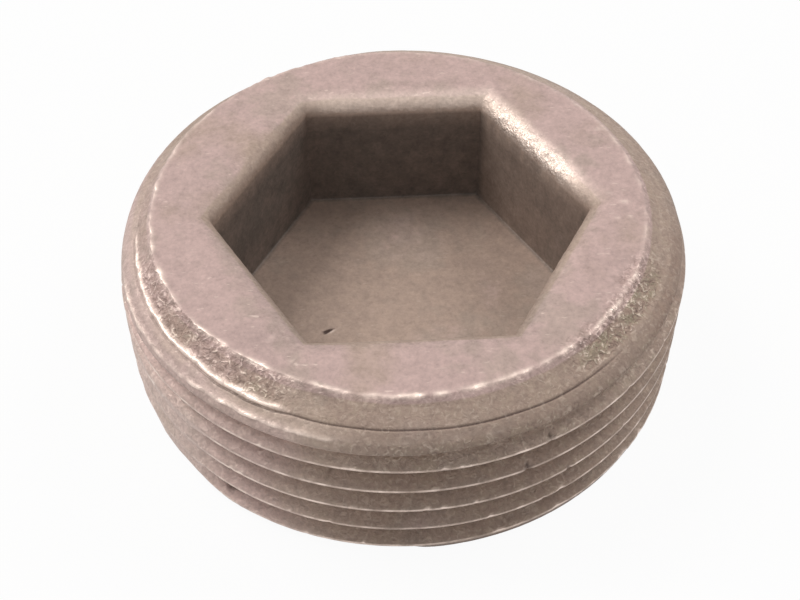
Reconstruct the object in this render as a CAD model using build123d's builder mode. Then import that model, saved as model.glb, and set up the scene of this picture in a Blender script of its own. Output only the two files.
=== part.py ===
"""Pipe plug with a hexagon socket, made from one piece of steel.

Millimetres, +Z up.  The origin is the middle of the underside, and two
corners of the hexagon lie on the X axis.
"""
import os
from math import atan, cos, degrees, radians, tan

from build123d import *

os.makedirs("parts", exist_ok=True)

# sizes of the body
height = 13.6
shoulder_width = 3.24
shoulder_slope = 31.0
shoulder_round = 2.0
bottom_chamfer = 0.5

# sizes of the tapered thread, 1-1/4 in with 11.5 turns to the inch
small_end_dia = 41.32
taper = 1 / 16
pitch = 25.4 / 11.5
thread_depth = 1.64
crest_flat = 0.16
crest_height = 9.83

# sizes of the hexagon socket, 24.0 across flats for a 15/16 in key; the rim is
# the flat ring that is left outside the mouth's corners
rim_width = 2.95
socket_depth = 10.4
mouth_width = 0.9
mouth_depth = 1.7
mouth_round = 0.8
floor_round = 0.4

# the cone on which the thread crests lie, and the flat top
cone_angle = degrees(atan(taper / 2))
base_radius = small_end_dia / 2
top_radius = base_radius + height * taper / 2
flat_radius = top_radius - shoulder_width

# where the sloping shoulder would meet that cone
corner_z = height - shoulder_width * tan(radians(shoulder_slope))
corner_radius = base_radius + corner_z * taper / 2

# the socket inside that rim, its soft mouth edge no wider than the rim
mouth_flats = 2 * (flat_radius - rim_width) * cos(radians(30))
socket_flats = mouth_flats - 2 * mouth_width
mouth_edge = min(mouth_round, rim_width)
floor_z = height - socket_depth

# the groove between two turns of the thread, cut in a plane through the axis;
# its flanks go on a little past the crests, so that they cross the cone cleanly
half_mouth = (pitch - crest_flat) / 2
half_root = max(half_mouth - thread_depth * tan(radians(30)), 0.02)
half_outer = half_mouth + crest_flat / 4
outer_step = crest_flat / 4 / tan(radians(30))
outer_reach = 0.5

# the groove starts below the underside and ends above the top
named_groove = crest_height - pitch / 2
start_z = named_groove - (int(named_groove / pitch) + 2) * pitch
turns = int((height + pitch - start_z) / pitch) + 1

with BuildPart() as plug:
    # turned outline: chamfered underside, cone, rounded shoulder and flat top
    with BuildSketch(Plane.XZ.rotated((0, 0, 45))) as outline:
        with BuildLine():
            Polyline(
                (0, 0),
                (base_radius - bottom_chamfer, 0),
                (base_radius + bottom_chamfer * taper / 2, bottom_chamfer),
                (corner_radius, corner_z),
                (flat_radius, height),
                (0, height),
                close=True,
            )
        make_face()
        shoulder = outline.vertices().sort_by_distance((corner_radius, corner_z, 0))
        fillet(shoulder[0], radius=shoulder_round)
    revolve(axis=Axis.Z)

    # hexagon socket, then its sloping mouth
    with BuildSketch(Plane.XY.offset(floor_z)):
        RegularPolygon(radius=socket_flats / 2, side_count=6, major_radius=False)
    extrude(amount=socket_depth, mode=Mode.SUBTRACT)
    with BuildSketch(Plane.XY.offset(height - mouth_depth)):
        RegularPolygon(radius=socket_flats / 2, side_count=6, major_radius=False)
    with BuildSketch(Plane.XY.offset(height)):
        RegularPolygon(radius=mouth_flats / 2, side_count=6, major_radius=False)
    loft(ruled=True, mode=Mode.SUBTRACT)

    # soft edges around the mouth and around the floor
    rim = plug.faces().filter_by(Axis.Z).sort_by(Axis.Z)[-1]
    fillet(rim.inner_wires()[0].edges(), radius=mouth_edge)
    floor = plug.faces().filter_by(Axis.Z).sort_by(Axis.Z)[1]
    fillet(floor.outer_wire().edges(), radius=floor_round)

    # right-hand thread, its groove wound up the cone one turn at a time
    for turn in range(turns):
        turn_z = start_z + turn * pitch
        turn_radius = base_radius + turn_z * taper / 2
        with BuildLine(Plane.XY.offset(turn_z).rotated((0, 0, -90))) as path:
            Helix(pitch, pitch, turn_radius, cone_angle=cone_angle)
        with BuildSketch(Plane.YZ):
            with BuildLine():
                Polyline(
                    (-turn_radius - outer_reach, turn_z - half_outer),
                    (-turn_radius - outer_step, turn_z - half_outer),
                    (-turn_radius + thread_depth, turn_z - half_root),
                    (-turn_radius + thread_depth, turn_z + half_root),
                    (-turn_radius - outer_step, turn_z + half_outer),
                    (-turn_radius - outer_reach, turn_z + half_outer),
                    close=True,
                )
            make_face()
        sweep(path=path.line, is_frenet=True, mode=Mode.SUBTRACT)

plug.part.label = "plug"
export_step(plug.part, "parts/plug.step")
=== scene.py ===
from math import cos, pi, radians, sin, tan
import bpy
import numpy as np
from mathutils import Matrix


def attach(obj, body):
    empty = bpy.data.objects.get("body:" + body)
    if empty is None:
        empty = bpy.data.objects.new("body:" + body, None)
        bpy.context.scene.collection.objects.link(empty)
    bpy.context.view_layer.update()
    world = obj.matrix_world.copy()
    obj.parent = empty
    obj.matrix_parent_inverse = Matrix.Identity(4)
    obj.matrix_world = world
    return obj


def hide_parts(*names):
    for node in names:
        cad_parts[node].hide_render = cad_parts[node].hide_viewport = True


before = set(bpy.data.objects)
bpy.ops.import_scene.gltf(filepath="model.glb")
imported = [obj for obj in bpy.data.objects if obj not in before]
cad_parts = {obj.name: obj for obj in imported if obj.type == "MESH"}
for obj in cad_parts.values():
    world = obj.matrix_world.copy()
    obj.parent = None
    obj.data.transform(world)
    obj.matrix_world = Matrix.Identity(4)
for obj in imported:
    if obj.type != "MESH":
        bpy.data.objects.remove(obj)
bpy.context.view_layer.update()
print("frame loaded")

# the camera stands where the photograph was taken from: millimetres and degrees
view = {"place": (-4.18, -73.66, 84.35), "lookDown": 47.64, "turn": -3.14, "lens": 63.0, "sensor": 36, "near": 5.0}


def makeCamera():
    # tipped down from level by lookDown and turned about the upright axis
    lens = bpy.data.cameras.new("camera")
    lens.lens = view["lens"]
    lens.sensor_width = view["sensor"]
    lens.clip_start = view["near"] / 1000
    camera = bpy.data.objects.new("camera", lens)
    camera.location = [value / 1000 for value in view["place"]]
    camera.rotation_euler = (radians(90 - view["lookDown"]), 0, radians(view["turn"]))
    bpy.context.scene.collection.objects.link(camera)
    bpy.context.scene.camera = camera


makeCamera()
print("camera set")


def ease(low, high, value):
    # 0 below low and 1 above high, with three t squared less two t cubed between them
    t = np.clip((value - low) / (high - low), 0, 1)
    return t * t * (3 - 2 * t)


def bell(away, width):
    # 1 where away is nothing, falling as e to the power of minus away over width, squared
    return np.exp(-(away / width) ** 2)


def arcWindow(degrees, middle, half, soft):
    # 1 within half degrees of the middle, easing to 0 over soft degrees more
    away = np.abs((degrees - middle + 180) % 360 - 180)
    return 1 - ease(half, half + soft, away)


def softMin(first, second, width):
    # the lesser of two, rounded where they come within width of each other
    near = np.maximum(width - np.abs(first - second), 0) / width
    return np.minimum(first, second) - near * near * width / 4


def latticeNoise(points, cell, seed):
    # chance heights between -1 and 1 on a cubic lattice, eased between the eight corners round each point
    lattice = np.random.default_rng(seed).uniform(-1, 1, (32, 32, 32))
    scaled = points / cell
    corner = np.floor(scaled).astype(int)
    part = scaled - corner
    part = part * part * (3 - 2 * part)
    total = np.zeros(points.shape[:-1])
    for shift in np.ndindex(2, 2, 2):
        weight = np.prod(np.where(np.array(shift) == 1, part, 1 - part), axis=-1)
        near = (corner + shift) % 32
        total += weight * lattice[near[..., 0], near[..., 1], near[..., 2]]
    return total


def onCircle(radius, angle, z):
    # a point at a radius, an angle and a height
    return np.stack(np.broadcast_arrays(radius * np.cos(angle), radius * np.sin(angle), z), axis=-1)


def pitField(degrees, radius, across, pits):
    # the sum of small bell-shaped hollows, each as deep as it says at its middle
    total = np.zeros(np.broadcast(degrees, across).shape)
    for middle, place, long, wide, deep in pits:
        away = np.radians((degrees - middle + 180) % 360 - 180) * radius
        total = total + deep * np.exp(-((away / long) ** 2) - ((across - place) / wide) ** 2)
    return total


def hexRadius(halfFlats, angle):
    # the distance to a hexagon's side in a direction: half the flats over the cosine from the side's middle
    fromMiddle = (angle % (pi / 3)) - pi / 6
    return halfFlats / np.cos(fromMiddle)


def roundCorner(before, corner, after, radius, steps):
    # points along the arc that is tangent to both lines at a corner of a flat profile
    before, corner, after = map(np.array, (before, corner, after))
    toBefore = (before - corner) / np.linalg.norm(before - corner)
    toAfter = (after - corner) / np.linalg.norm(after - corner)
    halfAngle = np.arccos(np.dot(toBefore, toAfter)) / 2
    bisector = (toBefore + toAfter) / np.linalg.norm(toBefore + toAfter)
    middle = corner + bisector * radius / np.sin(halfAngle)
    start = corner + toBefore * radius / np.tan(halfAngle) - middle
    end = corner + toAfter * radius / np.tan(halfAngle) - middle
    share = np.linspace(0, 1, steps)[:, None]
    sweep = np.arccos(np.clip(np.dot(start, end) / radius ** 2, -1, 1))
    return middle + (np.sin((1 - share) * sweep) * start + np.sin(share * sweep) * end) / np.sin(sweep)


# the plug's sizes in millimetres and degrees, the same as in the part's source
body = {
    "height": 13.6, "baseRadius": 20.66, "taper": 1 / 32, "flatRadius": 17.845, "slope": 31.0,
    "shoulderRound": 2.0, "bottomChamfer": 0.5,
}
thread = {
    "pitch": 25.4 / 11.5, "crestHeight": 9.83, "crestAngle": -90.0, "crestFlat": 0.16, "halfAngle": 30.0, "depth": 1.64,
}
socket = {"floor": 3.2, "halfFlats": 12.0, "floorRound": 0.14}

# how the skin is divided: rows are shares of the pitch from one crest down to the next, and the shares run along
# each stretch of rings from its start to its end
grid = {
    "columns": 576, "turns": (-6, 3), "threadEnd": 11.4, "gather": 0.03,
    "rows": (-0.036, 0.036, 0.056, 0.1, 0.17, 0.25, 0.33, 0.41, 0.47, 0.53, 0.6, 0.68, 0.76, 0.84, 0.9, 0.944),
    "foot": (0.25, 0.55, 0.8, 0.93, 1.0), "footHeights": (0.18, 0.35), "footInset": 0.05,
    "toFold": (
        0.0, 0.09, 0.16, 0.23, 0.29, 0.35, 0.41, 0.47, 0.53, 0.6, 0.68, 0.75, 0.8, 0.84, 0.88, 0.91, 0.94, 0.965,
        0.985, 1.0,
    ),
    "toEdge": (0.02, 0.045, 0.075, 0.12, 0.2, 0.3, 0.4, 0.5, 0.6, 0.7, 0.79, 0.86, 0.91, 0.95, 0.98, 1.0),
    "toLip": (0.015, 0.035, 0.065, 0.11, 0.18, 0.28, 0.4, 0.55, 0.7, 0.86),
    "lipSteps": 13, "wallHeights": (10.6, 8.6, 6.6, 4.8), "roundSteps": 5,
    "floorHalves": (11.6, 10.6, 9.2, 7.8, 6.9, 6.66, 6.52, 6.39, 6.26, 6.13, 5.98, 5.75, 4.6, 3.0, 1.4),
}


def outlineRadius(z):
    # the cone, then the arc that is tangent to both, then the straight bevel; the chamfer goes in one for one
    slope = radians(body["slope"])
    inward = body["flatRadius"] - body["baseRadius"] + body["shoulderRound"]
    arcHeight = inward * sin(slope) + body["height"] * cos(slope) - body["shoulderRound"]
    arcHeight = arcHeight / (cos(slope) + body["taper"] * sin(slope))
    arcMiddle = body["baseRadius"] + arcHeight * body["taper"] - body["shoulderRound"]
    cone = body["baseRadius"] + z * body["taper"]
    bevel = body["flatRadius"] + (body["height"] - z) / tan(slope)
    arc = arcMiddle + np.sqrt(np.maximum(body["shoulderRound"] ** 2 - (z - arcHeight) ** 2, 0))
    radius = np.where(z > arcHeight + body["shoulderRound"] * cos(slope), bevel, np.where(z > arcHeight, arc, cone))
    return radius - np.maximum(body["bottomChamfer"] - z, 0)


# marks of use. Windows are (middle, half width, softness) in degrees round the axis, spans are (from, to) in
# millimetres of height, and the rest is in millimetres or shares of one
worn = {
    "fullness": 0.20, "fullFades": (6.5, 11.0),
    "loss": 0.38, "lossWindow": (148.0, 26.0, 34.0), "lossGrows": (8.0, 11.5),
    "ridgeFat": 0.26, "leftFat": 0.24, "leftFatWindow": (235.0, 22.0, 30.0), "fatGrows": (10.6, 11.2),
    "dull": 0.015, "dullSpots": 0.8, "nick": 0.10, "nickSpots": (0.42, 0.8), "nickBlend": 0.08,
    "footFill": 0.8, "footFillWindow": (298.0, 24.0, 16.0), "footFillFades": (0.5, 1.5),
    "outlineBlend": 0.05, "grain": 0.008, "widest": 20.95,
}
smear = {
    "window": (207.0, 14.0, 12.0), "stray": 3, "fades": (7.4, 8.8), "skin": 0.04, "foot": 0.42, "footFades": (0.0, 1.8),
    "echo": 0.12, "waves": 0.06, "share": 0.92,
}
# the bright line under the fold climbs in two steps, given as (from, to) in degrees
burr = {
    "window": (224.0, 27.0, 8.0), "lift": 0.14, "width": 0.10, "height": 11.66, "waver": 0.05,
    "firstClimb": 0.27, "firstStep": (217, 232), "lastClimb": 0.15, "lastStep": (246, 262),
    "ragged": 0.75, "raggedSpots": 0.7, "raggedLimits": (0.1, 1.3),
    "trailWindow": (268, 24, 14), "hollow": 0.05, "hollowAbove": 0.3, "hollowWidth": 0.12,
}
rust = {
    "window": (339.0, 8.0, 12.0), "grows": (9.2, 10.2), "fades": (12.2, 13.0),
    "least": 0.35, "spots": 0.65, "specks": 0.4,
}
# single pits: angle, height or radius, width round, width across, depth
sidePits = (
    (229.6, 1.6, 0.55, 0.45, 0.60), (290.6, 7.8, 0.24, 0.20, 0.40), (295.0, 10.1, 0.26, 0.18, 0.3),
    (314.0, 11.4, 0.5, 0.25, 0.12), (246.0, 6.1, 0.20, 0.18, 0.25), (253.0, 8.0, 0.25, 0.14, 0.2),
    (300.0, 5.6, 0.2, 0.15, 0.25),
)
pitRadius = 20.7
# shares of the side's rubbed bright places and painted light, and of its darker places and painted shade
rubbedAndLit = {
    "crest": 0.66, "crestSpots": 0.55, "crestEnds": (10.2, 10.7), "pinch": 0.35,
    "nick": 0.6, "burr": 0.85, "trail": 0.25,
    "left": 0.22, "leftSmearLight": 0.20, "leftWindow": (213, 30, 26), "ridge": 0.12, "ridgeGrows": (9.8, 10.2),
    "ridgeFades": (11.0, 11.4),
}
darkened = {
    "groove": 0.7, "grooveDepth": (0.9, 1.6), "foot": 0.75, "footFades": (0.5, 0.75), "bevel": 0.24,
    "bevelShadeGrows": (11.0, 11.3), "cleanWindow": (205, 40, 20),
}
# the pink window at the left also paints the light that falls from the left
tinted = {
    "pinkAndLitWindow": (200, 30, 30), "pinkSpots": 0.25, "chew": 0.32, "chewRight": 0.2, "chewRightWindow": (300, 30, 20),
    "chewRightGrows": (7.5, 9.5), "chewSmear": 0.22,
}


def threadDepth(degrees, z):
    # the V's depth: how far the nearest crest lies, less half its flat, over the tangent of half the V's angle
    turns = (z - thread["crestHeight"]) / thread["pitch"] - (degrees - thread["crestAngle"]) / 360
    away = np.abs(turns - np.round(turns)) * thread["pitch"]
    fat = worn["ridgeFat"] + worn["leftFat"] * arcWindow(degrees, *worn["leftFatWindow"])
    crestHalf = thread["crestFlat"] / 2 + fat * ease(*worn["fatGrows"], z)
    return np.clip((away - crestHalf) / tan(radians(thread["halfAngle"])), 0, thread["depth"])


def smearShare(degrees, points, z):
    # 1 where the crests are smeared flat: a window with a ragged side, fading out at its top
    middle, half, soft = smear["window"]
    ragged = half + smear["stray"] * latticeNoise(points, 1.5, 13)
    return arcWindow(degrees, middle, ragged, soft) * (1 - ease(*smear["fades"], z))


def wornCut(degrees, points, z, depth, nick, smeared):
    # the V's depth, never less than the dulled and nicked crest, drawn towards the smear's own wavy skin
    dull = worn["dull"] * (1 + worn["dullSpots"] * latticeNoise(points, 1.3, 11))
    cut = -softMin(-depth, -(dull + nick), worn["nickBlend"])
    skin = smear["skin"] + smear["foot"] * (1 - ease(*smear["footFades"], z)) + smear["echo"] * depth
    skin = skin + smear["waves"] * latticeNoise(points, 1.1, 14)
    cut = cut + (skin - cut) * smear["share"] * smeared
    filled = worn["footFill"] * arcWindow(degrees, *worn["footFillWindow"]) * (1 - ease(*worn["footFillFades"], z))
    return cut * (1 - filled)


def burrLine(degrees, points, z):
    # a ragged bell across a line that climbs, its faint trail, and how far the skin moves: the bell less a hollow above
    line = burr["height"] + burr["firstClimb"] * ease(*burr["firstStep"], degrees)
    line = line + burr["lastClimb"] * ease(*burr["lastStep"], degrees) + burr["waver"] * latticeNoise(points, 0.9, 51)
    window = arcWindow(degrees, *burr["window"])
    ragged = (burr["ragged"] + burr["raggedSpots"] * latticeNoise(points, 0.5, 52)).clip(*burr["raggedLimits"])
    ridge = window * bell(z - line, burr["width"]) * ragged
    trail = arcWindow(degrees, *burr["trailWindow"]) * bell(z - line, burr["width"])
    trail = trail * ease(0.0, 0.7, latticeNoise(points, 0.9, 53))
    hollow = burr["hollow"] * window * bell(z - line - burr["hollowAbove"], burr["hollowWidth"])
    return ridge, trail, burr["lift"] * ridge - hollow


def rustField(degrees, points, z):
    # a thin stain under the shoulder at the right, broken by two sizes of chance spots
    spots = rust["least"] + rust["spots"] * ease(-0.2, 0.5, latticeNoise(points, 1.1, 61))
    spots = spots + rust["specks"] * latticeNoise(points, 0.4, 62)
    return arcWindow(degrees, *rust["window"]) * ease(*rust["grows"], z) * (1 - ease(*rust["fades"], z)) * spots


def sideSurface(angle, z):
    # the radius is the lesser of the outline and of the cone less the worn thread's cut, with pits and the burr on it
    degrees = np.degrees(angle)
    cone = body["baseRadius"] + z * body["taper"]
    points = onCircle(cone, angle, z)
    full = worn["fullness"] * (1 - ease(*worn["fullFades"], z))
    full = full - worn["loss"] * arcWindow(degrees, *worn["lossWindow"]) * ease(*worn["lossGrows"], z)
    depth = threadDepth(degrees, z)
    nick = worn["nick"] * ease(*worn["nickSpots"], latticeNoise(points, 0.55, 12))
    smeared = smearShare(degrees, points, z)
    cut = wornCut(degrees, points, z, depth, nick, smeared)
    pits = pitField(degrees, pitRadius, z, sidePits)
    ridge, trail, lift = burrLine(degrees, points, z)
    radius = softMin(outlineRadius(z), cone - cut, worn["outlineBlend"]) + full - pits
    radius -= worn["grain"] * (1 + latticeNoise(points, 0.35, 16))
    radius += lift

    # shares for the material: rubbed bright with painted light, darkened with painted shade, pink, chewed, shaded and
    # rusty
    # the crests rubbed bright by wear, which also paints a highlight on them
    crest = (1 - ease(0.0, 0.06, depth)) * (1 - ease(*rubbedAndLit["crestEnds"], z)) * (1 - 0.9 * smeared)
    pinched = 1 - rubbedAndLit["pinch"] * ease(-0.3, 0.3, latticeNoise(points, 0.5, 54))
    wearAndPaintedLight = crest * (rubbedAndLit["crest"] + rubbedAndLit["crestSpots"] * latticeNoise(points, 0.7, 17)) * pinched
    nicked = nick / worn["nick"] * (1 - ease(0.0, 0.3, depth)) * (1 - ease(*rubbedAndLit["crestEnds"], z))
    # painted light on the left side of the thread, stronger where it is smeared
    left = (rubbedAndLit["left"] + rubbedAndLit["leftSmearLight"] * smeared) * arcWindow(degrees, *rubbedAndLit["leftWindow"])
    # painted light on the first flank below the band, where the band's shadow falls
    firstFlankLight = ease(*rubbedAndLit["ridgeGrows"], z) * (1 - ease(*rubbedAndLit["ridgeFades"], z))
    wearAndPaintedLight = wearAndPaintedLight + rubbedAndLit["nick"] * nicked + left + rubbedAndLit["burr"] * ridge + rubbedAndLit["trail"] * trail
    wearAndPaintedLight = wearAndPaintedLight + rubbedAndLit["ridge"] * firstFlankLight
    # darker deep in the grooves
    groove = ease(*darkened["grooveDepth"], depth) * (1 - smeared) * (1 - ease(*rubbedAndLit["ridgeGrows"], z))
    # a painted shadow along the foot
    foot = (1 - ease(*darkened["footFades"], z)) * (1 - 0.8 * smeared)
    # painted shade on the band under the shoulder
    bevel = ease(*darkened["bevelShadeGrows"], z) * (1 - arcWindow(degrees, *darkened["cleanWindow"]))
    chewRight = arcWindow(degrees, *tinted["chewRightWindow"]) * ease(*tinted["chewRightGrows"], z)
    fields = {
        "wearAndPaintedLight": (1 - ease(0.05, 0.2, pits)) * wearAndPaintedLight,
        "grimeAndPaintedShade": darkened["groove"] * groove + darkened["foot"] * foot + darkened["bevel"] * bevel + ease(0.05, 0.25, pits),
        # pink at the left, which also paints the light from the left
        "blush": arcWindow(degrees, *tinted["pinkAndLitWindow"]) + tinted["pinkSpots"] * latticeNoise(points, 3.0, 18),
        "chew": tinted["chew"] + tinted["chewRight"] * chewRight + tinted["chewSmear"] * smeared,
        "shade": np.zeros_like(radius),
        "rust": rustField(degrees, points, z),
    }
    return np.minimum(radius, worn["widest"]), fields


# the top's marks, in the same units: the flat's ragged edge, the lip's roll and the fold across the shoulder
top = {
    "edge": 17.88, "shift": 0.38, "shiftAngle": 135.0, "oval": 0.08, "ovalAngle": 190.0, "jag": 0.06, "fineJag": 0.6,
    "jagRadius": 17.8, "dent": 0.20, "dentWindow": (236.0, 9.0, 14.0), "drop": 0.03, "edgeRound": 0.06,
}
lip = {"reach": 2.5, "drop": 1.5, "power": 2.4, "cornerRound": 0.30, "cornerWidth": 4.0, "cornerFade": 1.5}
fold = {
    "height": 12.5, "waver": 0.03, "waverRadius": 19.6, "stray": 0.06,
    "ridgeWindow": (213.0, 28.0, 5.0), "ridge": 0.15, "ridgeOut": 0.10, "ridgeWidth": 0.17, "shineWidth": 0.21,
    "notchWindow": (270.0, 30.0, 24.0), "notch": 0.09, "notchOut": 0.03, "notchWidth": 0.06,
}
chewed = {
    "leftWindow": (218.0, 18.0, 12.0), "left": 0.80, "leftFromFold": (0.15, 0.45),
    "rightWindow": (323.0, 10.0, 12.0), "right": 0.9, "rightRadius": (16.6, 17.4), "rightGrows": (12.6, 12.8),
    "lipWindow": (36.0, 14.0, 16.0), "lip": 0.6, "allLip": 0.15, "allShoulder": 0.3,
}
topPits = (
    (206.8, 14.64, 0.16, 0.12, 0.10), (249.0, 17.4, 0.18, 0.14, 0.10), (247.0, 14.2, 0.16, 0.12, 0.06),
)
floorPits = ((202.4, 7.22, 0.10, 0.10, 0.08),)
# small painted glints on the flat, each raised a little, given as the pits are
topGlints = (
    (358.6, 16.3, 0.16, 0.30, 0.9), (2.4, 15.1, 0.16, 0.30, 0.7), (352.8, 15.6, 0.18, 0.15, 0.8),
    (353.1, 16.5, 0.20, 0.14, 0.6), (26.5, 17.4, 0.16, 0.22, 0.8), (232.3, 15.4, 0.14, 0.28, 0.6),
    (237.7, 15.9, 0.16, 0.16, 0.7), (240.5, 16.4, 0.14, 0.14, 0.6),
)
# grey patches on the flat: angle, radius, width, share
greyPatches = ((231.0, 15.6, 2.0, 0.15), (172.0, 15.8, 2.6, 0.06), (95.0, 16.0, 2.6, 0.05))
slit = {"x": -5.83, "y": -2.69, "turn": 31.0, "length": 0.40, "width": 0.11, "depth": 0.20}
# how much painted shade darkens the socket, and how bright and dark the top's edges are, as shares: wear and painted
# highlights, painted shade, and real smudges
shaded = {
    "wall": 0.73, "rightWall": 0.30, "rightWindow": (30, 26, 4), "spots": 0.12, "nearLip": 0.6, "lipSpan": (11.6, 12.3),
    "floorCorner": 0.45, "frontLip": 0.16, "frontWindow": (250, 50, 30), "ragged": 0.32, "raggedWindow": (32, 20, 12),
}
edged = {
    "edge": 0.38, "leftEdgeHighlight": 0.42, "leftWindow": (245, 65, 40), "lip": 0.05, "lipRightSheen": 0.44,
    "lipRightSheenWindow": (62, 46, 20), "lipSheenPeak": 0.34, "lipSheenPeakWindow": (34, 14, 14), "glintSpot": 0.7, "slitRimHighlight": 1.1,
    "shoulderShade": 0.10, "slitDark": 1.4, "smudge": 0.45, "smudgeWindow": (268, 35, 25),
    "flatPink": 0.9, "lessPink": 0.5, "lessPinkWindow": (175, 22, 25), "sidePinkAndLit": 0.6,
}
flatHeight = body["height"] - top["drop"]
layerNames = ("wearAndPaintedLight", "grimeAndPaintedShade", "blush", "chew", "shade", "rust")


def flatEdge(angle):
    # the flat's mean radius, moved off centre, drawn out to an oval, made ragged and dented
    rim = onCircle(top["jagRadius"], angle, body["height"])
    jag = top["jag"] * (latticeNoise(rim, 0.7, 22) + top["fineJag"] * latticeNoise(rim, 0.3, 23))
    shift = top["shift"] * np.cos(angle - radians(top["shiftAngle"]))
    oval = top["oval"] * np.cos(2 * (angle - radians(top["ovalAngle"])))
    return top["edge"] + shift + oval + jag - top["dent"] * arcWindow(np.degrees(angle), *top["dentWindow"])


def footRings(angle):
    # rings of the foot, from the middle of the underside outwards, then up the chamfer
    radius = body["baseRadius"] - body["bottomChamfer"] - grid["footInset"]
    rings = [onCircle(radius * share, angle, 0.0) for share in grid["foot"]]
    for z in (*grid["footHeights"], body["bottomChamfer"]):
        radius, _ = sideSurface(angle, np.full(len(angle), z))
        rings.append(onCircle(radius, angle, z))
    return np.array(rings)


def shoulderRings(angle, line, edge):
    # rings on the side's own surface from the thread's end to the fold, then straight to the flat's edge
    rings, ringFields = [], []
    for share in grid["toFold"]:
        z = grid["threadEnd"] + (line - grid["threadEnd"]) * share
        radius, fields = sideSurface(angle, z)
        rings.append(onCircle(radius, angle, z))
        ringFields.append(fields)
    foldRadius = np.hypot(rings[-1][:, 0], rings[-1][:, 1])
    for share in grid["toEdge"]:
        z = softMin(line + (body["height"] - line) * share, flatHeight, top["edgeRound"])
        rings.append(onCircle(foldRadius + (edge - foldRadius) * share, angle, z))
    return rings, ringFields


def socketRings(angle, edge):
    # the flat closes in on the hexagon, the lip rolls over a quarter of a superellipse, and the walls run down to the
    # floor's round and the floor
    half, floor = socket["halfFlats"], socket["floor"]
    fromCorner = (np.degrees(angle) + 30) % 60 - 30
    cornerCut = lip["cornerRound"] * bell(fromCorner, lip["cornerWidth"])
    lipEdge = hexRadius(half + lip["reach"], angle) - cornerCut
    rings = [onCircle(edge + (lipEdge - edge) * share, angle, flatHeight) for share in grid["toLip"]]
    share = np.linspace(0, 1, grid["lipSteps"])
    lipHalf = half + lip["reach"] * (1 - np.sin(pi / 2 * share) ** (2 / lip["power"]))
    lipZ = flatHeight - lip["drop"] * (1 - np.cos(pi / 2 * share) ** (2 / lip["power"]))
    for k in range(len(share)):
        radius = hexRadius(lipHalf[k], angle) - cornerCut * (1 - share[k]) ** lip["cornerFade"]
        rings.append(onCircle(radius, angle, lipZ[k]))
    profile = np.vstack([
        np.array([(half, z) for z in grid["wallHeights"]]),
        roundCorner((half, body["height"]), (half, floor), (0.0, floor), socket["floorRound"], grid["roundSteps"]),
        np.array([(inner, floor) for inner in grid["floorHalves"]]),
    ])
    return rings + [onCircle(hexRadius(inner, angle), angle, z) for inner, z in profile]


def foldShape(points, ring, along):
    # along is measured down the slope from the fold's line: a ragged ridge just above it at the left, a fine groove
    # at the front, how bright the ridge is, and a painted shadow along the groove
    ridge = arcWindow(ring, *fold["ridgeWindow"])
    notch = arcWindow(ring, *fold["notchWindow"])
    ragged = 0.75 + 0.55 * latticeNoise(points, 0.5, 41)
    along = along + fold["stray"] * latticeNoise(points, 1.1, 42) * ridge
    fromRidge = along + fold["ridgeOut"] + fold["ridgeOut"] * latticeNoise(points, 0.6, 57)
    bump = fold["ridge"] * ridge * ragged * bell(fromRidge, fold["ridgeWidth"])
    shine = ridge * (0.35 + 0.9 * ragged) * bell(fromRidge, fold["shineWidth"])
    groove = fold["notch"] * (notch + 0.9 * ridge) * bell(along + fold["notchOut"] - 0.19 * ridge, fold["notchWidth"])
    # a painted shadow along the fine groove under the fold
    darkening = (notch + 0.6 * ridge) * bell(along + fold["notchOut"] - 0.25 * ridge, fold["notchWidth"])
    return bump - groove, shine, darkening


def slitShape(points):
    # a hollow that narrows to one end, turned in the floor, and the painted highlight on the rim beside it
    turn = radians(slit["turn"])
    x, y = points[..., 0] - slit["x"], points[..., 1] - slit["y"]
    along = x * cos(turn) + y * sin(turn)
    across = y * cos(turn) - x * sin(turn)
    width = slit["width"] * (1 - 0.5 * along / slit["length"]).clip(0.3, 1.5)
    hollow = slit["depth"] * np.exp(-((along / slit["length"]) ** 4) - (across / width) ** 2)
    # a painted highlight on the rim
    rim = np.exp(-((along - 0.12) / 0.34) ** 2 - ((across + 0.20) / 0.09) ** 2)
    return hollow, rim


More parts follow.
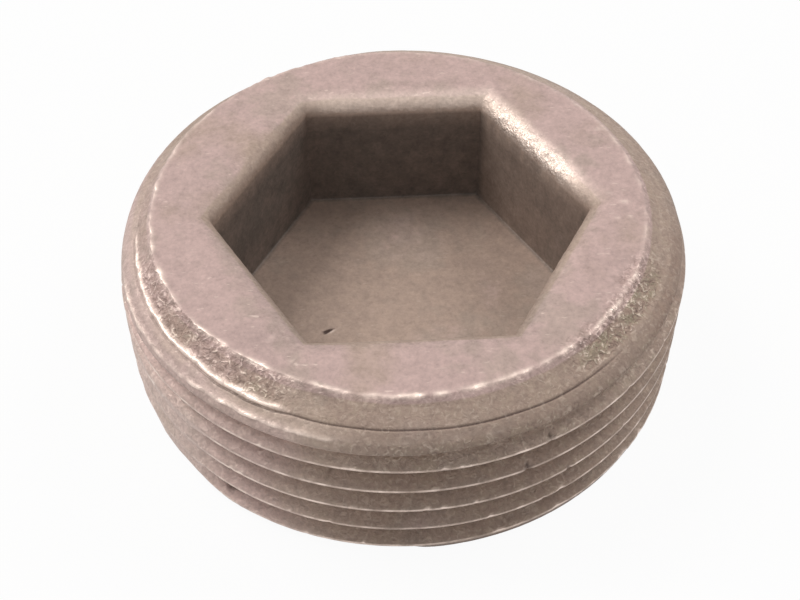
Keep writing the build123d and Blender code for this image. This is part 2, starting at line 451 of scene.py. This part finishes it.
def dressTop(rings, angle, line, edge):
    # relief for everything above the thread, moved along the skin's own normal, and its shares for the material
    radius = np.hypot(rings[..., 0], rings[..., 1])
    z = rings[..., 2]
    ring = np.broadcast_to(np.degrees(angle), radius.shape)
    hexHalf = radius * np.cos((np.radians(ring) % (pi / 3)) - pi / 6)
    pastEdge = radius - edge[None, :]
    downSlope = (line[None, :] - z) / sin(radians(body["slope"]))
    onShoulder = ease(0.0, 0.15, pastEdge) * ease(12.1, 12.3, z)
    onEdge = bell(pastEdge - 0.03, 0.19) * (z > 13.2)
    onLip = ease(11.9, 12.4, z) * (1 - ease(12.5, 13.9, hexHalf))
    onFlat = (z > 12.8) * (hexHalf > 13.5)
    onFloor = z < 4
    inHexagon = hexHalf < 12.6

    # where the skin is chewed: two patches of the shoulder, the lip's pitted side, and a little all round
    chewLeft = chewed["left"] * arcWindow(ring, *chewed["leftWindow"]) * onShoulder
    chewLeft = chewLeft * ease(*chewed["leftFromFold"], -downSlope)
    chewRight = chewed["right"] * arcWindow(ring, *chewed["rightWindow"])
    chewRight = chewRight * ease(*chewed["rightRadius"], radius + 0.5 * latticeNoise(rings, 0.9, 55))
    chewRight = chewRight * ease(*chewed["rightGrows"], z)
    chewLip = (chewed["lip"] * arcWindow(ring, *chewed["lipWindow"]) + chewed["allLip"]) * onLip
    chew = chewLeft + chewRight + chewLip + chewed["allShoulder"] * onShoulder

    # the fold's relief, its shine and its painted shadow
    foldLift, shine, foldShadow = foldShape(rings, ring, downSlope)
    # painted glints on the flat
    glintSpot = pitField(ring, radius, radius, topGlints)
    pits = pitField(ring, radius, radius, topPits) * onFlat
    hollow, rim = slitShape(rings)
    nicks = (pitField(ring, radius, radius, floorPits) + hollow) * onFloor
    rim = rim * onFloor

    # forged skin all over, rough chewed places, the fold, the ragged edge, then pits and flecks
    relief = 0.006 * latticeNoise(rings, 0.4, 31) + 0.012 * latticeNoise(rings, 1.6, 32) * ease(11.5, 12.3, z)
    relief *= ease(11.4, 11.7, z) + (z < 11.3) * inHexagon
    rough = (chew - chewed["allShoulder"] * onShoulder) * ease(11.6, 12.0, z)
    relief += rough * (0.10 * latticeNoise(rings, 0.8, 33) + 0.09 * latticeNoise(rings, 0.45, 34) - 0.06)
    relief += foldLift * ease(12.15, 12.3, z) * onShoulder
    relief += onEdge * (0.03 + 0.07 * latticeNoise(rings, 0.45, 35))
    relief -= pits + nicks - 0.04 * glintSpot * onFlat
    around = np.roll(rings, -1, axis=1) - np.roll(rings, 1, axis=1)
    normal = np.cross(around, np.gradient(rings, axis=0))
    normal /= np.linalg.norm(normal, axis=-1, keepdims=True)
    rings = rings + normal * relief[..., None]
    rings[..., 2] = np.minimum(rings[..., 2], body["height"])

    # painted shade in the socket: its walls, paler at the right and up to a ragged line under the lip, a dark band at
    # the floor's corner, and the front lip; and real grey patches on the flat
    ragged = latticeNoise(rings, 0.55, 58) * (z > 10.8) * arcWindow(ring, *shaded["raggedWindow"])
    raggedZ = z + shaded["ragged"] * ragged
    shade = (raggedZ < 12.2) * inHexagon * ease(3.2, 3.24, z)
    shade = shade * (shaded["wall"] - shaded["rightWall"] * arcWindow(ring, *shaded["rightWindow"]))
    shade = shade * (1 - shaded["nearLip"] * ease(*shaded["lipSpan"], raggedZ))
    shade = shade * (1 + shaded["spots"] * latticeNoise(rings, 1.6, 56))
    shade = shade + shaded["floorCorner"] * (z < 3.24) * ease(11.7, 11.88, hexHalf)
    shade = shade + shaded["frontLip"] * onLip * arcWindow(ring, *shaded["frontWindow"])
    for middle, place, wide, share in greyPatches:
        shade = shade + pitField(ring, place, radius, ((middle, place, wide, wide * 0.6, share),)) * (z > 13.2)

    # rubbed edges with painted highlights, the fold's shine, the lip's wear and painted sheen, painted glints and the
    # slit rim's painted highlight; the painted shadow along the fold, painted shade on the shoulder, dark pits, darker
    # in the slit, and real smudges under the edge; pink on the flat, and at the left pink that also paints its light
    chips = 0.5 + 0.5 * latticeNoise(rings, 0.4, 36)
    # the flat's edge rubbed bright, with a painted highlight, brighter at the left
    wearAndPaintedLight = onEdge * (edged["edge"] + edged["leftEdgeHighlight"] * arcWindow(ring, *edged["leftWindow"])) * (0.5 + chips)
    wearAndPaintedLight = wearAndPaintedLight * (0.66 + 0.75 * latticeNoise(rings, 0.8, 39)) + shine * onShoulder * (0.8 + 0.4 * chips)
    # the lip's wear with a painted sheen, brightest at the right
    lipWearAndSheen = edged["lip"] + edged["lipRightSheen"] * arcWindow(ring, *edged["lipRightSheenWindow"])
    lipWearAndSheen = lipWearAndSheen + edged["lipSheenPeak"] * arcWindow(ring, *edged["lipSheenPeakWindow"])
    wearAndPaintedLight = wearAndPaintedLight + onLip * lipWearAndSheen + edged["glintSpot"] * glintSpot * onFlat + edged["slitRimHighlight"] * rim
    underEdge = ease(0.05, 0.2, pastEdge) * (1 - ease(0.35, 0.9, pastEdge)) * (z > 12.6)
    smudge = underEdge * ease(-0.2, 0.5, latticeNoise(rings, 1.4, 38)) * arcWindow(ring, *edged["smudgeWindow"])
    # the painted shadow along the fold, and painted shade on the shoulder
    grimeAndPaintedShade = foldShadow * onShoulder + edged["shoulderShade"] * onShoulder * (1 - arcWindow(ring, *darkened["cleanWindow"]))
    # dark pits, darker in the slit, and real smudges under the edge
    grimeAndPaintedShade = grimeAndPaintedShade + ease(0.02, 0.08, pits) + edged["slitDark"] * ease(0.02, 0.07, nicks) + edged["smudge"] * smudge
    blush = (z > 13.3) * (edged["flatPink"] - edged["lessPink"] * arcWindow(ring, *edged["lessPinkWindow"]))
    # pink on the left of the shoulder, which also paints its light
    blush = blush + arcWindow(ring, *tinted["pinkAndLitWindow"]) * (z > 11) * edged["sidePinkAndLit"] * (hexHalf > 12.6)
    blush = blush + 0.3 * latticeNoise(rings, 3.5, 37) - 0.25 * onLip
    stain = rustField(ring, rings, z) * (hexHalf > 12.6)
    return rings, dict(zip(layerNames, (wearAndPaintedLight, grimeAndPaintedShade, blush, chew, shade, stain)))


def fadeIn(fields, ringFields, heights):
    # the shoulder's lowest rings carry the side's marks, which fade into the upper ones; wear with painted light, and
    # grime with painted shade, keep the more
    for k, below in enumerate(ringFields):
        fading = 1 - ease(11.9, 12.3, heights[k])
        for name, values in fields.items():
            if name in ("wearAndPaintedLight", "grimeAndPaintedShade"):
                values[k] = np.maximum(values[k], below[name])
            else:
                values[k] = values[k] + (below[name] - values[k]) * fading


def makePlug():
    # one closed skin: rows wound along the thread, and plain rings for the foot, the shoulder, the flat and the socket
    angle = np.arange(grid["columns"]) * 2 * pi / grid["columns"]
    degrees = np.degrees(angle)
    rows = np.array(grid["rows"])
    phase = (np.arange(*grid["turns"])[:, None] + rows[None, :]).ravel()[:, None]
    sideZ = thread["crestHeight"] + thread["pitch"] * (phase + (degrees[None, :] - thread["crestAngle"]) / 360)
    sideRadius, sideFields = sideSurface(np.broadcast_to(angle, sideZ.shape), sideZ)
    sidePoints = onCircle(sideRadius, angle[None, :], sideZ)
    foot = footRings(angle)
    line = fold["height"] + fold["waver"] * latticeNoise(onCircle(fold["waverRadius"], angle, fold["height"]), 3.0, 21)
    edge = flatEdge(angle)
    shoulder, ringFields = shoulderRings(angle, line, edge)
    plain = np.array(shoulder + socketRings(angle, edge))
    upper, upperFields = dressTop(plain, angle, line, edge)
    fadeIn(upperFields, ringFields, plain[..., 2])
    # the foot is darkened all over, a painted shadow along the bottom edge
    footFields = {name: np.zeros(foot.shape[:2]) for name in layerNames}
    footFields["grimeAndPaintedShade"] += 0.5
    footFields["chew"] += 0.2

    # one list of points: the thread's rows, the foot's rings, the upper rings and the two poles
    sideCount, footCount, upperCount = sideZ.size, foot[..., 0].size, upper[..., 0].size
    sideIndex = np.arange(sideCount).reshape(sideZ.shape)
    footIndex = sideCount + np.arange(footCount).reshape(foot.shape[:2])
    upperIndex = sideCount + footCount + np.arange(upperCount).reshape(upper.shape[:2])
    footPole = sideCount + footCount + upperCount
    poles = [[0, 0, 0], [0, 0, socket["floor"]]]
    points = np.vstack([sidePoints.reshape(-1, 3), foot.reshape(-1, 3), upper.reshape(-1, 3), poles])
    fields = {
        name: np.concatenate([sideFields[name].ravel(), footFields[name].ravel(), upperFields[name].ravel(), [0, 0]])
        for name in layerNames
    }

    # rows that run past the foot or the shoulder are gathered onto its ring
    sideIndex = np.where(sideZ <= body["bottomChamfer"] + grid["gather"], footIndex[-1][None, :], sideIndex)
    sideIndex = np.where(sideZ >= grid["threadEnd"] - grid["gather"], upperIndex[0][None, :], sideIndex)
    quads, triangles = joinGrids(sideIndex, footIndex, upperIndex, footPole, footPole + 1)
    used = np.unique(np.concatenate([quads.ravel(), triangles.ravel()]))
    place = np.full(len(points), -1)
    place[used] = np.arange(len(used))
    mesh = fillMesh("plugSkin", points[used] / 1000, place[quads], place[triangles])
    for name, values in fields.items():
        layer = mesh.attributes.new(name, "FLOAT", "POINT")
        layer.data.foreach_set("value", np.clip(values[used], 0, 1.5).astype(np.float32))
    sharpenCorners(mesh)
    piece = bpy.data.objects.new("plugSkin", mesh)
    bpy.context.scene.collection.objects.link(piece)
    print("plug skin:", len(quads) * 2 + len(triangles), "triangles")
    return piece


def quadGrid(left, right):
    # four corners for each cell between two neighbouring columns of point numbers
    cells = np.stack([left[:-1], right[:-1], right[1:], left[1:]], axis=-1)
    return cells.reshape(-1, 4)


def joinGrids(sideIndex, footIndex, upperIndex, footPole, floorPole):
    # the thread's last column meets its first one turn on; rings close on themselves, and fans close the two poles
    perTurn = len(grid["rows"])
    quads = [quadGrid(sideIndex[:, :-1], sideIndex[:, 1:])]
    quads.append(quadGrid(sideIndex[:-perTurn, -1:], sideIndex[perTurn:, :1]))
    for rings in (footIndex, upperIndex):
        quads.append(quadGrid(rings, np.roll(rings, -1, axis=1)))
    quads = np.vstack(quads)
    first, last = footIndex[0], upperIndex[-1]
    triangles = [
        np.stack([np.full(len(first), footPole), np.roll(first, -1), first], axis=1),
        np.stack([last, np.roll(last, -1), np.full(len(last), floorPole)], axis=1),
    ]
    # a quad with two corners in one place becomes a triangle, and one with two such pairs goes
    lowPair, highPair = quads[:, 0] == quads[:, 3], quads[:, 1] == quads[:, 2]
    triangles.append(quads[lowPair & ~highPair][:, [0, 1, 2]])
    triangles.append(quads[highPair & ~lowPair][:, [0, 1, 3]])
    return quads[~(lowPair | highPair)], np.vstack(triangles)


def fillMesh(name, points, quads, triangles):
    # points, then the corners of all quads and triangles in one run
    mesh = bpy.data.meshes.new(name)
    corners = np.concatenate([quads.ravel(), triangles.ravel()])
    sizes = np.concatenate([np.full(len(quads), 4), np.full(len(triangles), 3)])
    mesh.vertices.add(len(points))
    mesh.vertices.foreach_set("co", points.astype(np.float32).ravel())
    mesh.loops.add(len(corners))
    mesh.loops.foreach_set("vertex_index", corners.astype(np.int32))
    mesh.polygons.add(len(sizes))
    mesh.polygons.foreach_set("loop_start", (np.cumsum(sizes) - sizes).astype(np.int32))
    mesh.update(calc_edges=True)
    mesh.validate()
    mesh.shade_smooth()
    return mesh


def sharpenCorners(mesh):
    # an edge that runs down one of the socket's six corners stays sharp
    ends = np.empty(len(mesh.edges) * 2, np.int32)
    mesh.edges.foreach_get("vertices", ends)
    places = np.empty(len(mesh.vertices) * 3, np.float32)
    mesh.vertices.foreach_get("co", places)
    x, y, z = (places.reshape(-1, 3)[ends.reshape(-1, 2)] * 1000).transpose(2, 0, 1)
    turned = np.degrees(np.arctan2(y, x)) % 60
    onCorner = (np.minimum(turned, 60 - turned) < 0.15).all(axis=1)
    inSocket = (np.hypot(x, y) < 14.95).all(axis=1) & (z > socket["floor"] + 0.05).all(axis=1) & (z < 12.6).all(axis=1)
    upright = np.abs(z[:, 0] - z[:, 1]) > 0.01
    layer = mesh.attributes.new("sharp_edge", "BOOLEAN", "EDGE")
    layer.data.foreach_set("value", onCorner & inSocket & upright)


class Wire:
    # one output of a shader node; sums on wires add Math nodes
    def __init__(self, board, output):
        self.board, self.output = board, output

    def __add__(self, other): return self.board.math("ADD", self, other)
    def __radd__(self, other): return self.board.math("ADD", other, self)
    def __sub__(self, other): return self.board.math("SUBTRACT", self, other)
    def __rsub__(self, other): return self.board.math("SUBTRACT", other, self)
    def __mul__(self, other): return self.board.math("MULTIPLY", self, other)
    def __rmul__(self, other): return self.board.math("MULTIPLY", other, self)

    def ramp(self, low, high):
        # 0 at low and 1 at high, eased and held outside them
        settings = {"interpolation_type": "SMOOTHSTEP"}
        return self.board.node("ShaderNodeMapRange", settings, {0: self, 1: low, 2: high, 3: 0.0, 4: 1.0})[0]


class Board:
    # the nodes of one material or of the world
    def __init__(self, owner):
        self.owner = owner
        owner.use_nodes = True
        self.tree = owner.node_tree
        self.tree.nodes.clear()

    def node(self, kind, settings, inputs):
        # adds a node, sets it up, then joins or fills its sockets; gives back its outputs as wires
        node = self.tree.nodes.new(kind)
        for name, value in settings.items():
            setattr(node, name, value)
        for name, value in inputs.items():
            if isinstance(value, Wire):
                self.tree.links.new(value.output, node.inputs[name])
            else:
                node.inputs[name].default_value = value
        return [Wire(self, output) for output in node.outputs]

    def math(self, operation, first, second):
        return self.node("ShaderNodeMath", {"operation": operation}, {0: first, 1: second})[0]

    def attribute(self, name):
        return self.node("ShaderNodeAttribute", {"attribute_name": name}, {})[2]

    def noise(self, place, scale, detail, rough=0.55, curl=0.0):
        inputs = {"Vector": place, "Scale": scale, "Detail": detail, "Roughness": rough, "Distortion": curl}
        return self.node("ShaderNodeTexNoise", {}, inputs)[0]

    def mix(self, share, first, second):
        return self.node("ShaderNodeMix", {"data_type": "RGBA"}, {0: share, 6: first, 7: second})[2]

    def scaled(self, colour, amount):
        return self.node("ShaderNodeVectorMath", {"operation": "SCALE"}, {0: colour, "Scale": amount})[0]


# colours are linear; grain scales are per millimetre; the rest are shares of one, and the relief is in millimetres
steel = {
    "pink": (0.54, 0.39, 0.36, 1), "beige": (0.445, 0.33, 0.268, 1), "green": (0.43, 0.345, 0.285, 1),
    "dark": (0.085, 0.050, 0.040, 1), "bright": (0.86, 0.71, 0.62, 1), "shade": (0.082, 0.077, 0.072, 1),
    "rust": (0.34, 0.20, 0.14, 1), "olive": (0.33, 0.275, 0.19, 1),
    "grain": 3.0, "mottle": 0.9, "patch": 0.16, "speck": 7.0, "crumb": 2.3, "glintStreaks": (1.1, 4.0, 4.0),
    "greenShare": 0.45, "rustShare": 0.34, "chewedRust": 0.22, "oliveShare": 0.7, "darkeningShare": 0.8,
    "pitShare": 0.26, "speckShare": 0.07, "glintStreakShare": 0.35, "glintShare": 0.45,
    "metal": 0.12, "wornMetal": 0.6, "rough": 0.62, "wornSmoother": 0.25, "grainRough": 0.1,
    "grainRelief": 0.026, "speckRelief": 0.008, "chewRelief": 0.20,
}


def makeSteel():
    # raw steel: a mottled pink and beige skin, dark in the hollows and in painted shade, and bright where crests and
    # edges are rubbed and in painted highlights
    board = Board(bpy.data.materials.new("rawSteel"))
    place = board.scaled(board.node("ShaderNodeTexCoord", {}, {})[3], 1000.0)
    grain = board.noise(place, steel["grain"], 4.0, 0.65)
    mottle = board.noise(place, steel["mottle"], 3.0)
    patch = board.noise(place, steel["patch"], 3.0)
    speck = board.noise(place, steel["speck"], 2.0)
    crumb = board.noise(place, steel["crumb"], 1.6, 0.5, 1.3)
    # painted glints: short bright streaks
    stretched = board.node("ShaderNodeVectorMath", {"operation": "MULTIPLY"}, {0: place, 1: steel["glintStreaks"]})[0]
    glintStreaks = board.noise(stretched, 1.0, 2.0).ramp(0.66, 0.74) * steel["glintStreakShare"]
    wearAndPaintedLight, grimeAndPaintedShade, blush, chew, shade, stain = (board.attribute(name) for name in layerNames)

    # the skin: pink over beige, green in wide patches, rust and olive in the chewed places, then its tone
    pinkShare = (blush + (patch - 0.5) * 1.6 + (mottle - 0.5) * 0.6).ramp(0.1, 0.9)
    greenShare = (patch - mottle * 0.35).ramp(0.32, 0.50) * steel["greenShare"]
    rustShare = stain * steel["rustShare"] + chew * crumb.ramp(0.58, 0.44) * steel["chewedRust"]
    oliveShare = chew * (crumb * 0.5 + mottle * 0.5).ramp(0.47, 0.59) * (1.0 - pinkShare) * steel["oliveShare"]
    skin = board.mix(pinkShare, steel["beige"], steel["pink"])
    skin = board.mix(greenShare, skin, steel["green"])
    skin = board.mix(rustShare, skin, steel["rust"])
    skin = board.mix(oliveShare, skin, steel["olive"])
    tone = 1.0 + (grain - 0.5) * (0.50 + chew * 0.5) + (mottle - 0.5) * 0.40 + (crumb - 0.5) * (0.22 + chew * 0.5)
    skin = board.scaled(skin, tone)

    # grime and painted shade in the hollows, dark pits in the chewed places, then the socket's mottled painted shade
    pitted = (crumb * 0.75 + speck * 0.25).ramp(0.45, 0.33)
    specks = (speck * 0.6 + grain * 0.4).ramp(0.46, 0.36)
    darkening = grimeAndPaintedShade * steel["darkeningShare"] + chew * pitted * steel["pitShare"] + specks * steel["speckShare"]
    skin = board.mix(darkening, skin, steel["dark"])
    skin = board.mix(shade, skin, steel["shade"])
    skin = board.scaled(skin, 1.0 + shade * ((crumb - 0.5) * 0.7 + (mottle - 0.5) * 0.8 + (grain - 0.5) * 0.5))

    # bright metal where it is rubbed and where light is painted, and painted glints in the chewed places and as short
    # streaks
    glint = chew * (crumb * 0.8 + speck * 0.2).ramp(0.54, 0.66) * steel["glintShare"]
    glint = glint + glintStreaks * (0.4 + blush * 0.6) * (1.0 - shade)
    metal = board.math("MINIMUM", wearAndPaintedLight * (0.45 + grain * 0.9) + glint, 1.0)
    skin = board.mix(metal, skin, steel["bright"])
    height = (grain - 0.5) * steel["grainRelief"] + (speck - 0.5) * steel["speckRelief"]
    height = height + chew * (crumb * 0.7 + grain * 0.3 - 0.5) * steel["chewRelief"]
    bump = board.node("ShaderNodeBump", {}, {"Strength": 1.0, "Distance": 0.001, "Height": height})[0]
    roughness = steel["rough"] - metal * steel["wornSmoother"] + (grain - 0.5) * steel["grainRough"]
    shader = board.node("ShaderNodeBsdfPrincipled", {}, {
        "Base Color": skin, "Metallic": steel["metal"] + metal * steel["wornMetal"], "Roughness": roughness,
        "Normal": bump,
    })[0]
    board.node("ShaderNodeOutputMaterial", {}, {"Surface": shader})
    return board.owner


plugPiece = makePlug()
plugPiece.data.materials.append(makeSteel())
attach(plugPiece, "root")
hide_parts("plug")
print("steel made")

# lamps: direction round the plug, height above level, distance and size in millimetres, watts
lamps = {
    "leftLamp": {"angle": 150.0, "rise": 52.0, "away": 900.0, "size": 460.0, "power": 4.6, "tint": (1.0, 0.975, 0.95)},
    "rightLamp": {"angle": 30.0, "rise": 46.0, "away": 900.0, "size": 420.0, "power": 2.3, "tint": (1.0, 0.975, 0.95)},
}
# the floor reaches floorHalf millimetres each way; floorWhite is its share of plain white to the camera
surround = {"sky": 0.29, "floorColour": (0.84, 0.83, 0.82, 1), "floorWhite": 0.95, "floorHalf": 3000.0}


def makeLamp(name, angle, rise, away, size, power, tint):
    # a square soft lamp on a sphere round the plug, turned to face it
    lamp = bpy.data.lights.new(name, "AREA")
    lamp.energy, lamp.size, lamp.color = power, size / 1000, tint
    lampObject = bpy.data.objects.new(name, lamp)
    level = away / 1000 * cos(radians(rise))
    lampObject.location = (level * cos(radians(angle)), level * sin(radians(angle)), away / 1000 * sin(radians(rise)))
    lampObject.rotation_euler = (radians(90 - rise), 0, radians(angle + 90))
    bpy.context.scene.collection.objects.link(lampObject)


def whiteToEye(board, atOther):
    # 1 where the camera or a mirror looks, and that same 1 there with a set value for all other light
    camera, _, _, glossy = board.node("ShaderNodeLightPath", {}, {})[:4]
    seen = board.math("MAXIMUM", camera, glossy)
    return seen, atOther + seen * (1.0 - atOther)


def makeSurround():
    # a wide pale floor that is nearly white to the camera but keeps a faint shadow, and an even sky
    board = Board(bpy.data.materials.new("floorPaper"))
    seen, _ = whiteToEye(board, 0.0)
    paper = board.node("ShaderNodeBsdfDiffuse", {}, {"Color": surround["floorColour"]})[0]
    white = board.node("ShaderNodeEmission", {}, {"Color": (1, 1, 1, 1), "Strength": 1.0})[0]
    mixed = board.node("ShaderNodeMixShader", {}, {0: seen * surround["floorWhite"], 1: paper, 2: white})[0]
    board.node("ShaderNodeOutputMaterial", {}, {"Surface": mixed})
    half = surround["floorHalf"] / 1000
    corners = np.array([(-half, -half, 0), (half, -half, 0), (half, half, 0), (-half, half, 0)])
    mesh = fillMesh("floor", corners, np.array([[0, 1, 2, 3]]), np.zeros((0, 3), int))
    mesh.materials.append(board.owner)
    floor = bpy.data.objects.new("floor", mesh)
    bpy.context.scene.collection.objects.link(floor)
    bpy.context.scene.world = bpy.data.worlds.new("sky")
    board = Board(bpy.context.scene.world)
    _, strength = whiteToEye(board, surround["sky"])
    sky = board.node("ShaderNodeBackground", {}, {"Color": (1, 1, 1, 1), "Strength": strength})[0]
    board.node("ShaderNodeOutputWorld", {}, {"Surface": sky})


for name, settings in lamps.items():
    makeLamp(name, **settings)
makeSurround()
bpy.context.scene.view_settings.view_transform = "Standard"
print("stage and light set")
